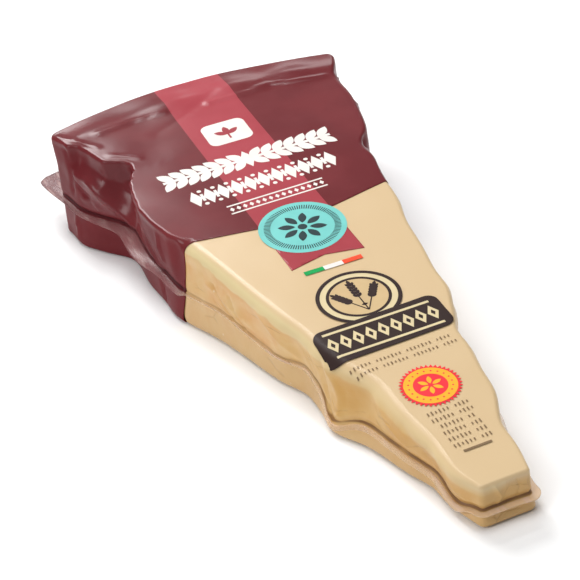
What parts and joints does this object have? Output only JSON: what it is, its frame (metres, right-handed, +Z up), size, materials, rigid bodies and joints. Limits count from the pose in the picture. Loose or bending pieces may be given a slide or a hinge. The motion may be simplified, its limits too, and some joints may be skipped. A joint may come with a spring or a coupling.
{
  "type": "vacuum-packed parmesan cheese wedge",
  "caption": "Wedge of hard cheese in skin-tight printed and clear film, lying flat, with a welded film rim round its sides",
  "frame": {"origin": "on the ground under the middle of the pack's bounding box, the welded rim included", "axes": "+Z up, +Y from the thin tip toward the rind, +X to the right when looking at the printed face from the tip"},
  "size_m": [0.0857, 0.1875, 0.0289],
  "materials": {
    "cheese": "pale straw hard cheese with a mottled, crumbly cut face, seen through glossy film",
    "clear_film": "clear glossy barrier film, slightly milky where it is welded and folded",
    "printed_film": "glossy film printed in dark maroon, creased where it clings to the cheese"
  },
  "bodies": {
    "root": {"sealed_wedge": "cheese", "weld_rim": "clear_film"}
  },
  "joints": []
}
